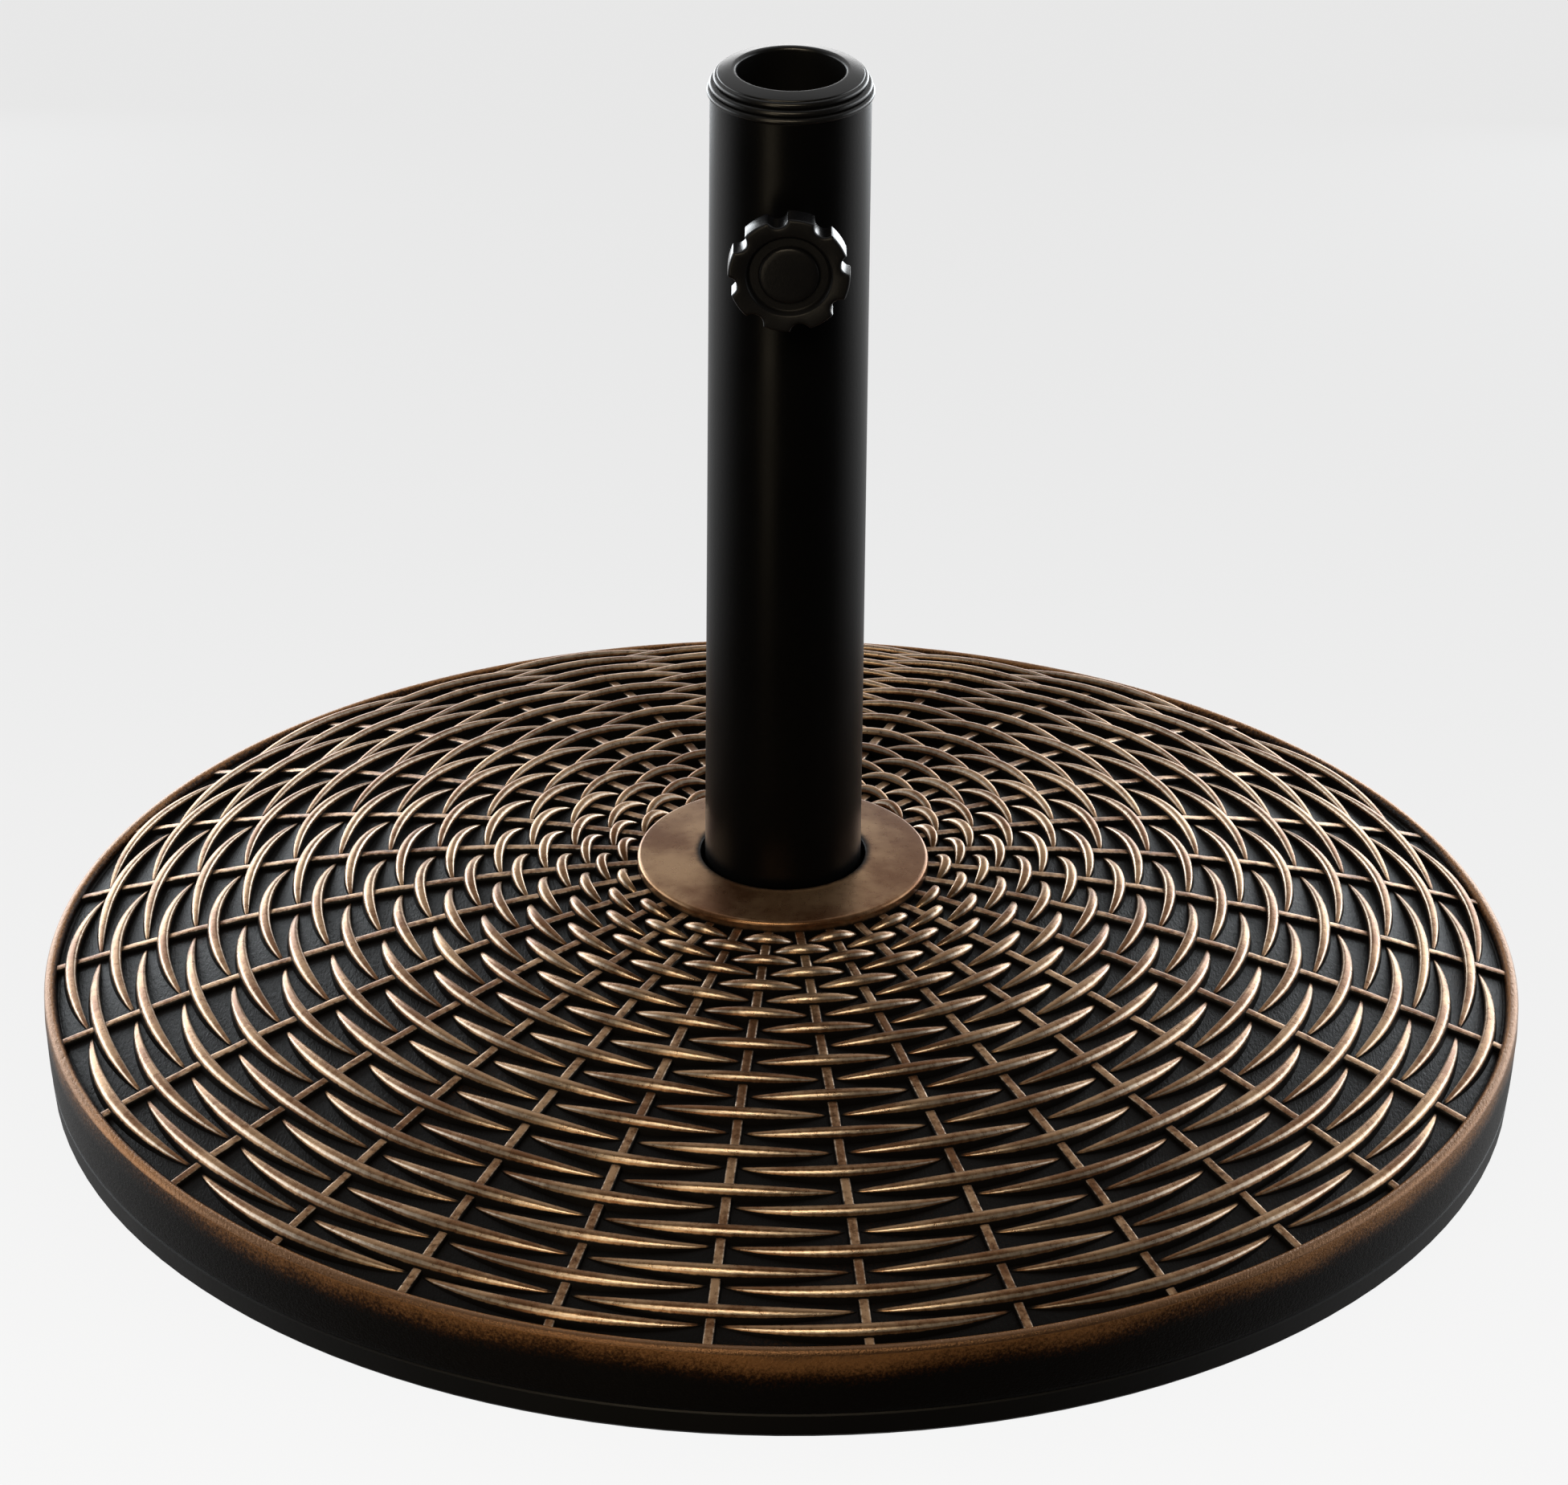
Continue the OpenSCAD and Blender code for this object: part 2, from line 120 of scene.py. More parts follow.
def ring_radius(k):
    """Radius of ring k of the weave, ring 1 being the outermost."""
    t = (RINGS - k) / (RINGS - 1)
    return RING_IN_R + (RING_OUT_R - RING_IN_R) * t + RING_BULGE * t * (t - RING_BULGE_AT) * (1 - t)


def spoke_angle(i):
    return -TAU / 4 + WEAVE_TURN + (i + 0.5) * TAU / SPOKES


# ---------------------------------------------------------------- mesh tools

class Shape:
    """Vertices, faces and the two paint marks of a piece: crown is 0 in the ground
    of a relief and 1 on its tops, edge is 1 along the shoulders, which carry brush wear and a painted
    highlight."""

    def __init__(self):
        self.points = []
        self.faces = []
        self.crown = []
        self.edge = []

    def point(self, place, crown=0.0, edge=0.0):
        self.points.append(tuple(place))
        self.crown.append(crown)
        self.edge.append(edge)
        return len(self.points) - 1

    def row(self, places):
        """Adds a row of (place, crown, edge) points and returns their numbers."""
        return [self.point(*place) for place in places]

    def join(self, first, second, closed=True):
        """Quads between two rows of the same length. They face outward where the rows
        run clockwise as seen from the second one."""
        count = len(first)
        for j in range(count if closed else count - 1):
            k = (j + 1) % count
            self.faces.append((first[j], second[j], second[k], first[k]))

    def cap(self, row, centre):
        """Triangles from a row to one point."""
        for j in range(len(row)):
            self.faces.append((row[(j + 1) % len(row)], row[j], centre))

    def tube(self, rows, ends=True, loop=False):
        """A skin over rows of points, closed at its ends or into a ring."""
        for first, second in zip(rows, rows[1:]):
            self.join(first, second)
        if loop:
            self.join(rows[-1], rows[0])
        elif ends:
            self.faces.append(tuple(rows[0]))
            self.faces.append(tuple(reversed(rows[-1])))

    def build(self, name, material, body, nodes=(), sharp=40):
        mesh = bpy.data.meshes.new(name)
        mesh.from_pydata(self.points, [], self.faces)
        for label, values in (("crown", self.crown), ("edge", self.edge)):
            mark = mesh.attributes.new(label, "FLOAT", "POINT")
            mark.data.foreach_set("value", values)
        mesh.update()
        mesh.polygons.foreach_set("use_smooth", [True] * len(mesh.polygons))
        mesh.set_sharp_from_angle(angle=math.radians(sharp))
        mesh.materials.append(material)
        piece = bpy.data.objects.new(name, mesh)
        bpy.context.scene.collection.objects.link(piece)
        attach(piece, body)
        if nodes:
            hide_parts(*nodes)
        return piece


def rounded(corners, steps=6):
    """A closed outline whose (x, y, radius) corners become arcs of that radius."""
    outline = []
    count = len(corners)
    for i, (x, y, radius) in enumerate(corners):
        here = Vector((x, y))
        if radius == 0:
            outline.append(here)
            continue
        back = (Vector(corners[i - 1][:2]) - here).normalized()
        ahead = (Vector(corners[(i + 1) % count][:2]) - here).normalized()
        half = back.angle(ahead) / 2
        reach = radius / math.tan(half)
        centre = here + (back + ahead).normalized() * radius / math.sin(half)
        start = here + back * reach - centre
        turn = start.angle_signed(here + ahead * reach - centre)
        for j in range(steps + 1):
            arm = start.copy()
            arm.rotate(Matrix.Rotation(-turn * j / steps, 2))
            outline.append(centre + arm)
    return outline


def arc(cx, cy, radius, first, last, steps):
    """Points on an arc, angles in degrees."""
    turns = [math.radians(first + (last - first) * j / steps) for j in range(steps + 1)]
    return [Vector((cx + radius * math.cos(t), cy + radius * math.sin(t))) for t in turns]


def revolve(shape, outline, segments, marks=None):
    """Turns a closed outline of (radius, height) points about the Z axis."""
    rows = []
    for spin in range(segments):
        angle = TAU * spin / segments
        c, s = math.cos(angle), math.sin(angle)
        rows.append(shape.row(
            ((r * c, r * s, z),) + (marks(r, z) if marks else (0.0, 0.0))
            for r, z in outline))
    shape.tube(rows, loop=True)


def about_screw(r, y, turn):
    """A place at a distance and an angle from the clamp's axis."""
    return r * math.cos(turn), y, KNOB_Z + r * math.sin(turn)


def screw_circle(shape, r, y, count):
    """A row of unmarked points on a circle about the clamp's axis."""
    return shape.row((about_screw(r, y, TAU * j / count), 0.0, 0.0) for j in range(count))


def along_screw(shape, outline, segments, marks=None):
    """Turns an open (radius, y) outline that ends on the clamp's axis about that axis."""
    rows = []
    for r, y in outline:
        mark = marks(r, y) if marks else (0.0, 0.0)
        if r == 0:
            rows.append([shape.point((0, y, KNOB_Z), *mark)])
            continue
        rows.append(shape.row((about_screw(r, y, TAU * j / segments), *mark) for j in range(segments)))
    for first, second in zip(rows, rows[1:]):
        if len(first) == 1:
            shape.cap(second[::-1], first[0])
        elif len(second) == 1:
            shape.cap(first, second[0])
        else:
            shape.join(first, second)


def smooth_step(x):
    x = min(max(x, 0.0), 1.0)
    return x * x * (3 - 2 * x)


# ---------------------------------------------------------------- materials

class Paint:
    """A principled material and short ways to add nodes to it."""

    def __init__(self, name):
        self.material = bpy.data.materials.new(name)
        self.material.use_nodes = True
        self.tree = self.material.node_tree
        self.shader = self.tree.nodes["Principled BSDF"]
        self.coords = self.add("ShaderNodeTexCoord").outputs["Object"]

    def add(self, kind, inputs=None, **settings):
        made = self.tree.nodes.new(kind)
        for key, value in settings.items():
            setattr(made, key, value)
        for key, value in (inputs or {}).items():
            self.plug(made.inputs[key], value)
        return made

    def plug(self, socket, value):
        if isinstance(value, bpy.types.NodeSocket):
            self.tree.links.new(value, socket)
        else:
            socket.default_value = value

    def set(self, **values):
        """Sets or links sockets of the shader, named with _ for a space."""
        for key, value in values.items():
            self.plug(self.shader.inputs[key.replace("_", " ")], value)

    def noise(self, scale, detail=4.0, rough=0.55, vector=None, stretch=None):
        place = vector or self.coords
        if stretch:
            place = self.add("ShaderNodeMapping", {"Vector": place, "Scale": stretch}).outputs[0]
        inputs = {"Vector": place, "Scale": scale, "Detail": detail, "Roughness": rough}
        return self.add("ShaderNodeTexNoise", inputs).outputs["Fac"]

    def mark(self, label):
        return self.add("ShaderNodeAttribute", attribute_name=label).outputs["Fac"]

    def math(self, operation, first, second=0.0):
        return self.add("ShaderNodeMath", {0: first, 1: second}, operation=operation).outputs[0]

    def scaled(self, value, factor, offset=0.0):
        inputs = {0: value, 1: factor, 2: offset}
        return self.add("ShaderNodeMath", inputs, operation="MULTIPLY_ADD").outputs[0]

    def fade(self, value, start, end, low_value=0.0, high_value=1.0):
        """A smooth rise from one value to another."""
        inputs = {"Value": value, "From Min": start, "From Max": end,
                  "To Min": low_value, "To Max": high_value}
        return self.add("ShaderNodeMapRange", inputs, interpolation_type="SMOOTHSTEP").outputs[0]

    def blend(self, factor, first, second):
        inputs = {0: factor, 6: first, 7: second}
        return self.add("ShaderNodeMix", inputs, data_type="RGBA").outputs[2]

    def bump(self, height, distance, strength=1.0, onto=None):
        inputs = {"Height": height, "Distance": distance, "Strength": strength}
        if onto:
            inputs["Normal"] = onto
        return self.add("ShaderNodeBump", inputs).outputs[0]


def rgb(r, g, b):
    return (r, g, b, 1.0)


DARK_GROUND = rgb(0.0060, 0.0052, 0.0048)
DEEP_COPPER = rgb(0.19, 0.088, 0.040)
BRONZE = rgb(0.42, 0.258, 0.142)
PALE_BRONZE_AND_HIGHLIGHT = rgb(0.84, 0.71, 0.57)


def bronze(name, reach=0.0, worn=0.5, pitted=0.55):
    """Antique bronze dry-brushed over a near-black ground. The brush catches crowns and shoulders,
    and the pale colour along the shoulders is brush wear with a painted highlight; reach widens the
    brushed area, worn breaks it up and pitted roughens it."""
    paint = Paint(name)
    tone = paint.noise(38, 3)
    mottle = paint.noise(420, 6, 0.68)
    grain = paint.noise(2300, 3, 0.6)
    crown, edge = paint.mark("crown"), paint.mark("edge")
    broken = paint.scaled(mottle, worn, -0.5 * worn)
    covered = paint.math("ADD", paint.math("ADD", crown, reach), broken)
    mask = paint.fade(covered, 0.28, 0.62)
    warm = paint.blend(paint.fade(paint.math("ADD", tone, broken), 0.35, 0.68), DEEP_COPPER, BRONZE)
    # Pale bronze along the shoulders: brush wear together with a painted highlight.
    rub_and_painted_highlight = paint.fade(paint.math("ADD", edge, broken), 0.45, 0.95)
    metal = paint.blend(rub_and_painted_highlight, warm, PALE_BRONZE_AND_HIGHLIGHT)
    speck = paint.fade(paint.noise(1100, 4, 0.7), 0.60, 0.74)
    metal = paint.blend(paint.math("MULTIPLY", speck, 0.30), metal, rgb(0.08, 0.045, 0.028))
    paint.set(Base_Color=paint.blend(mask, DARK_GROUND, metal))
    paint.set(Metallic=paint.scaled(mask, 0.82))
    smooth = paint.fade(mask, 0, 1, 0.34, 0.29)
    paint.set(Roughness=paint.math("ADD", smooth, paint.scaled(mottle, 0.16, -0.08)))
    paint.set(Specular_IOR_Level=0.07)
    relief = paint.bump(mottle, 0.00024, pitted)
    paint.set(Normal=paint.bump(grain, 0.00006, 0.5, relief))
    return paint


def cover_bronze():
    """The cover: black grained floor, bronze bead, and a wall that goes darker towards the bottom
    and fades to black in ragged clouds of bronze."""
    paint = bronze("bronze_cover", worn=0.8)
    clouds = paint.noise(13, 3, 0.55)
    ragged = paint.noise(900, 5, 0.75)
    grain = paint.noise(1300, 4, 0.6, stretch=(1.0, 0.30, 1.0))
    crown = paint.mark("crown")
    depth = paint.math("ADD", crown, paint.scaled(clouds, 1.3, -0.76))
    dusty = paint.fade(paint.math("ADD", depth, paint.scaled(ragged, 1.7, -0.85)), 0.10, 0.85)
    full = paint.fade(paint.math("ADD", depth, paint.scaled(ragged, 0.6, -0.3)), 0.95, 1.25)
    # The bronze goes darker further down the wall.
    bright = paint.fade(paint.math("ADD", depth, paint.scaled(ragged, 1.3, -0.65)), 0.35, 1.25)
    dust = paint.blend(bright, rgb(0.055, 0.022, 0.008), rgb(0.42, 0.20, 0.078))
    wall = paint.blend(dusty, DARK_GROUND, dust)
    paint.set(Base_Color=paint.blend(full, wall, rgb(0.21, 0.112, 0.058)))
    paint.set(Metallic=paint.math("ADD", paint.scaled(dusty, 0.30), paint.scaled(full, 0.40)))
    relief = paint.shader.inputs["Normal"].links[0].from_socket
    paint.set(Normal=paint.bump(grain, 0.00030, 0.9, relief))
    return paint.material


def black_coat(name, colour, roughness, peel=0.00003, peel_scale=900, level=0.5):
    """Satin black: faint orange peel, soft gloss changes and a little dust."""
    paint = Paint(name)
    peel_noise = paint.noise(peel_scale, 3, 0.5)
    wide = paint.noise(26, 3)
    dust = paint.fade(paint.noise(1500, 4, 0.7), 0.60, 0.74, 0.0, 0.05)
    paint.set(Base_Color=paint.blend(dust, colour, rgb(0.12, 0.12, 0.12)))
    paint.set(Roughness=paint.fade(wide, 0.3, 0.7, roughness - 0.03, roughness + 0.04))
    paint.set(Specular_IOR_Level=level)
    paint.set(Normal=paint.bump(peel_noise, peel, 0.8))
    return paint


def knob_gloss():
    """Moulded black plastic: polished lobe flanks and a finely textured face."""
    paint = Paint("knob_black")
    face = paint.mark("crown")
    texture = paint.noise(1700, 3, 0.6)
    wide = paint.noise(90, 3)
    scuff = paint.fade(paint.noise(420, 5, 0.7), 0.62, 0.78, 0.0, 0.12)
    paint.set(Base_Color=paint.blend(scuff, rgb(0.006, 0.006, 0.007), rgb(0.05, 0.05, 0.052)))
    flank = paint.fade(wide, 0.3, 0.7, 0.20, 0.28)
    paint.set(Roughness=paint.math("ADD", flank, paint.scaled(face, 0.24)))
    paint.set(Specular_IOR_Level=0.28)
    paint.set(Normal=paint.bump(paint.math("MULTIPLY", texture, face), 0.00008, 0.8))
    return paint.material


def steel(name, colour, roughness, streak=(1, 1, 1)):
    """Plated or plain steel with fine marks and slight tarnish."""
    paint = Paint(name)
    marks = paint.noise(650, 4, 0.6, stretch=streak)
    tarnish = paint.noise(120, 5, 0.65)
    dull = tuple(0.62 * c for c in colour[:3]) + (1.0,)
    paint.set(Base_Color=paint.blend(paint.fade(tarnish, 0.42, 0.72), colour, dull))
    paint.set(Metallic=1.0)
    paint.set(Roughness=paint.fade(marks, 0.3, 0.7, roughness - 0.07, roughness + 0.09))
    paint.set(Normal=paint.bump(marks, 0.00004, 0.6))
    return paint.material


def rough_solid(name, dark, light, scale, roughness, depth):
    """A matt body such as cement or rubber: two mixed tones and a grainy surface."""
    paint = Paint(name)
    tone = paint.noise(scale, 6, 0.65)
    grain = paint.noise(scale * 9, 4, 0.65)
    paint.set(Base_Color=paint.blend(paint.fade(tone, 0.3, 0.7), dark, light))
    paint.set(Roughness=paint.fade(grain, 0.3, 0.7, roughness - 0.06, roughness + 0.06))
    paint.set(Normal=paint.bump(grain, depth, 0.8))
    return paint.material


weave_bronze = bronze("bronze_weave", reach=0.02, worn=0.5).material
spoke_bronze = bronze("bronze_spokes", reach=-0.04, worn=0.75).material
hub_bronze = bronze("bronze_hub", reach=-0.05, worn=0.18, pitted=0.16).material
cover_paint = cover_bronze()
tube_black = black_coat("black_tube", rgb(0.0026, 0.0026, 0.0028), 0.32, level=0.10).material
cap_black = black_coat("cap_black", rgb(0.0060, 0.0060, 0.0062), 0.30, peel_scale=1500).material
pan_black = black_coat("black_pan", rgb(0.0060, 0.0055, 0.0052), 0.48, 0.00006, 500, 0.25).material
inner_black = black_coat("inner_plastic", rgb(0.010, 0.010, 0.011), 0.45).material
pad_nylon = black_coat("pad_plastic", rgb(0.045, 0.045, 0.040), 0.40).material
knob_black = knob_gloss()
zinc = steel("zinc_steel", rgb(0.62, 0.62, 0.60), 0.30)
plain_steel = steel("plain_steel", rgb(0.42, 0.43, 0.44), 0.38, (1, 1, 6))
cement_grey = rough_solid("cement", rgb(0.27, 0.26, 0.245), rgb(0.50, 0.49, 0.465), 90, 0.88, 0.0004)
rubber_dark = rough_solid(
    "rubber_black", rgb(0.012, 0.012, 0.012), rgb(0.024, 0.024, 0.024), 140, 0.72, 0.0001)


# ---------------------------------------------------------------- disc

def cover_marks(r, z):
    """Bronze on the bead, fading down the wall; bare ground on the woven floor."""
    bead_z = RIM_Z - BEAD_R
    dust_foot = 18 * MM
    if r < BASE_R - 2 * BEAD_R - 0.2 * MM:
        return 0.0, 0.0
    if z >= bead_z:
        inner = smooth_step((r - (BASE_R - 2 * BEAD_R)) / (1.4 * BEAD_R))
        return 0.50 + 0.95 * inner, 0.60 * smooth_step((z - bead_z) / BEAD_R) * inner
    down = smooth_step((z - dust_foot) / (bead_z - dust_foot))
    return (1.14 * down - 0.20, 0.0) if r > BASE_R - 3 * MM else (0.0, 0.0)


def woven_cover():
    bead_z = RIM_Z - BEAD_R
    bead_x = BASE_R - BEAD_R
    cavity_r = BASE_R - COVER_WALL
    hole_r = TUBE_R + 4.0 * MM
    wall_foot = BASE_R - 1.6 * MM
    chamfer = 0.6 * MM
    floor_out = BASE_R - 2 * BEAD_R - 0.1 * MM
    outline = [Vector((cavity_r, SEAM_Z)), Vector((wall_foot - chamfer, SEAM_Z))]
    outline.append(Vector((wall_foot, SEAM_Z + chamfer)))
    for step in range(1, 10):
        t = step / 10
        bulge = 0.25 * MM * math.sin(math.pi * t)
        wall_r = wall_foot + (BASE_R - wall_foot) * t + bulge * (1 - t)
        outline.append(Vector((wall_r, SEAM_Z + (WIDE_Z - SEAM_Z) * t)))
    outline.append(Vector((BASE_R, WIDE_Z)))
    outline += arc(bead_x, bead_z, BEAD_R, 0, 180, 14)
    fillet = 0.7 * MM
    outline += arc(floor_out - fillet, floor_z(floor_out) + fillet, fillet, 0, -90, 4)[1:]
    inner_start = floor_out - 2.2 * fillet
    for step in range(40):
        r = inner_start + (hole_r - inner_start) * step / 39
        outline.append(Vector((r, floor_z(r))))
    for step in range(20):
        r = hole_r + (cavity_r - hole_r) * step / 19
        outline.append(Vector((r, sphere_z(FLOOR_R - COVER_WALL, r))))
    shape = Shape()
    revolve(shape, outline, 480, cover_marks)
    return shape.build("woven_cover", cover_paint, "base", ["cover_shell"])


def spoke(shape, angle, draw):
    """A flat reed with soft edges, painted brightest just inside them with brush wear and a painted
    highlight.
    """
    half = SPOKE_W / 2
    start, end = HUB_R + 0.1 * MM, BASE_R - 3.0 * MM
    stations = 64
    along = Vector((math.cos(angle), math.sin(angle), 0))
    across = Vector((-along.y, along.x, 0))
    sway = draw.uniform(0, TAU)
    rows = []
    for i in range(stations + 1):
        t = i / stations
        r = start + (end - start) * t
        rise = SPOKE_H * (1 + 0.05 * math.sin(9 * TAU * t + sway) + 0.04 * draw.uniform(-1, 1))
        shift = 0.10 * MM * math.sin(3 * TAU * t + 2 * sway)
        row = []
        for y, up, crown, edge in SPOKE:
            height = up * rise if up > 0 else -SUNK
            place = along * r + across * (y * half + shift) + Vector((0, 0, floor_z(r) + height))
            row.append((place, crown, edge))
        rows.append(shape.row(row))
    shape.tube(rows)


def both_sides(half):
    """A section across a reed from its half, the last point being the middle."""
    return half + [(-across, up, crown, edge) for across, up, crown, edge in reversed(half[:-1])]


# Sections as (across, up, crown mark, edge mark), in half widths and in heights. The edge marks paint a pale
# highlight along the shoulders, together with brush wear.
REED = both_sides([
    (1.20, -1.0, 0.0, 0.0), (1.14, 0.02, 0.0, 0.0), (1.05, 0.28, 0.0, 0.0), (0.99, 0.48, 0.10, 0.0),
    (0.90, 0.66, 0.62, 0.3), (0.76, 0.81, 0.95, 0.8), (0.58, 0.915, 1.0, 0.7), (0.38, 0.97, 0.90, 0.35),
    (0.18, 0.995, 0.82, 0.1), (0.0, 1.0, 0.80, 0.05)])
SPOKE = both_sides([
    (-1.0, -1.0, 0.0, 0.0), (-0.99, 0.20, 0.0, 0.0), (-0.96, 0.52, 0.0, 0.0), (-0.88, 0.75, 0.12, 0.1),
    (-0.74, 0.90, 0.50, 0.7), (-0.54, 0.975, 0.68, 0.5), (-0.28, 1.0, 0.62, 0.1), (0.0, 1.0, 0.59, 0.0)])


def strand(shape, k, angle, draw):
    """One bowed reed from tip to tip over its spoke, with worn, rounded shoulders that also carry a painted
    highlight.
    """
    radius = ring_radius(k)
    bow = WIDE_BOW if k % 2 == 1 and k <= WIDE_BOW_LAST else BOW
    half_span = TAU / SPOKES - STRAND_GAP / radius
    stations = 12 if k > 16 else 16
    width = STRAND_W / 2 * draw.uniform(0.96, 1.05)
    tall = STRAND_H * draw.uniform(0.96, 1.02)
    lean = draw.uniform(-0.15, 0.15) * MM
    rows = []
    for i in range(1, 2 * stations):
        place = math.sin(math.pi / 2 * (i / stations - 1))
        taper = (1 - place * place) ** 0.58
        half_w = width * taper
        crown_h = tall * (1 - 0.96 * place * place)
        turn = angle + half_span * place
        middle = radius - bow * place * place + lean * (1 - place * place)
        # The marks fade towards the tips, which go darker where they sink to the floor.
        shine = 0.22 + 0.78 * smooth_step(2.1 * taper - 0.2)
        row = []
        for across, up, crown, edge in REED:
            r = middle + across * half_w
            z = floor_z(r) + (up * crown_h if up > 0 else -SUNK)
            row.append(((r * math.cos(turn), r * math.sin(turn), z), crown * shine, edge * shine))
        rows.append(shape.row(row))
    shape.tube(rows)


def weave():
    draw = random.Random(11)
    shape = Shape()
    for i in range(SPOKES):
        spoke(shape, spoke_angle(i), draw)
    shape.build("spokes", spoke_bronze, "base", ["weave_spokes"], sharp=60)
    for name, first, last in (("outer_strands", 1, 8), ("middle_strands", 9, 16), ("inner_strands", 17, 24)):
        shape = Shape()
        for k in range(first, last + 1):
            for i in range((k + 1) % 2, SPOKES, 2):
                strand(shape, k, spoke_angle(i), draw)
        shape.build(name + "_reeds", weave_bronze, "base", [name], sharp=75)


def hub_marks(r, z):
    # Next to the tube the crown mark drops and leaves the ground dark: painted shade of the tube. The lip
    # mark paints a pale highlight along the rim, together with brush wear.
    lip = math.exp(-((r - (HUB_R - 1.0 * MM)) / (1.1 * MM)) ** 2)
    clear_of_tube_shade = smooth_step((r - TUBE_R - 1.0 * MM) / (5 * MM))
    top = smooth_step((z - (HUB_EDGE_Z - 4 * MM)) / (3 * MM))
    return (0.32 + 0.42 * clear_of_tube_shade) * top, 0.50 * lip * top


def hub_ring():
    """A smooth collar with a soft outer edge that hides the socket's mouth."""
    hole_r = TUBE_R + 1.4 * MM
    spigot_r = hole_r + 2.5 * MM
    outline = [(hole_r, HUB_FOOT_Z), (spigot_r, HUB_FOOT_Z), (spigot_r, floor_z(spigot_r) - 0.2 * MM)]
    outline += [(HUB_R, floor_z(HUB_R) - 0.3 * MM)]
    top = rounded([
        (HUB_R, floor_z(HUB_R) - 0.3 * MM, 0), (HUB_R + 0.15 * MM, HUB_EDGE_Z, 1.5 * MM),
        (hole_r, HUB_TOP, 0.9 * MM), (hole_r, HUB_FOOT_Z, 0)], 8)[1:-1]
    finer = []
    for (r0, z0), (r1, z1) in zip(top, top[1:]):
        steps = max(1, int((r0 - r1) / (2 * MM)))
        finer += [(r0 + (r1 - r0) * j / steps, z0 + (z1 - z0) * j / steps) for j in range(steps)]
    outline += finer + [tuple(top[-1])]
    shape = Shape()
    revolve(shape, outline, 256, hub_marks)
    return shape.build("hub_collar", hub_bronze, "base", ["hub_ring"])


# ---------------------------------------------------------------- tube, cap and clamp

def pole_tube():
    inner_r = TUBE_R - 1.6 * MM
    foot = low("pole_tube").z
    outline = rounded([
        (inner_r, foot, 0.4 * MM), (TUBE_R, foot, 0.4 * MM),
        (TUBE_R, TUBE_TOP, 0.4 * MM), (inner_r, TUBE_TOP, 0.4 * MM)], 3)
    shape = Shape()
    revolve(shape, outline, 192)
    return shape.build("tube_wall", tube_black, "base", ["pole_tube"])


def top_cap():
    """Three rounded ridges stepping in to a conical face with a soft lip."""
    cap_r = high("top_cap").x
    ridge = 2.4 * MM
    wall = 2.2 * MM
    skirt_r = TUBE_R - 1.8 * MM
    skirt_foot = TUBE_TOP - 16 * MM
    sleeve_foot = TUBE_TOP - 28 * MM
    web_z = TUBE_TOP + 1.4 * MM
    lip = 1.4 * MM
    outline = [Vector((POLE_R + wall, web_z)), Vector((skirt_r - wall, web_z))]
    outline += [Vector((skirt_r - wall, skirt_foot)), Vector((skirt_r, skirt_foot))]
    outline += [Vector((skirt_r, TUBE_TOP))]
    for step, inset in enumerate((0.0, 0.8 * MM, 2.2 * MM)):
        outline += arc(cap_r - inset - ridge / 2, TUBE_TOP + (step + 0.5) * ridge, ridge / 2, -88, 88, 10)
    outline += arc(cap_r - 3.9 * MM, TUBE_TOP + 3 * ridge + 0.1 * MM, 0.5 * MM, -10, 70, 3)
    outline += arc(POLE_R + lip, CAP_TOP - lip, lip, 70, 180, 10)
    outline += [Vector((POLE_R, sleeve_foot)), Vector((POLE_R + wall, sleeve_foot))]
    shape = Shape()
    revolve(shape, outline, 192)
    return shape.build("reducer_cap", cap_black, "cap", ["top_cap"], sharp=50)


def lobe_radius(angle, inset):
    """Distance from the knob's axis to its outline: a disc with round notches, their
    corners softened, and the whole outline moved in by inset."""
    notch_r = 3.5 * MM + inset
    notch_at = KNOB_R + 0.8 * MM
    pitch = TAU / KNOB_LOBES
    phase = math.radians(33.5)
    off = (angle - phase) % pitch - pitch / 2
    side = notch_at * math.sin(off)
    outer = KNOB_R - inset
    if abs(side) >= notch_r:
        bite = outer + (abs(side) - notch_r)
    else:
        bite = notch_at * math.cos(off) - math.sqrt(notch_r ** 2 - side ** 2)
    soft = 0.9 * MM
    gap = min(max(0.5 + 0.5 * (bite - outer) / soft, 0.0), 1.0)
    return bite * (1 - gap) + outer * gap - soft * gap * (1 - gap) * 0.6


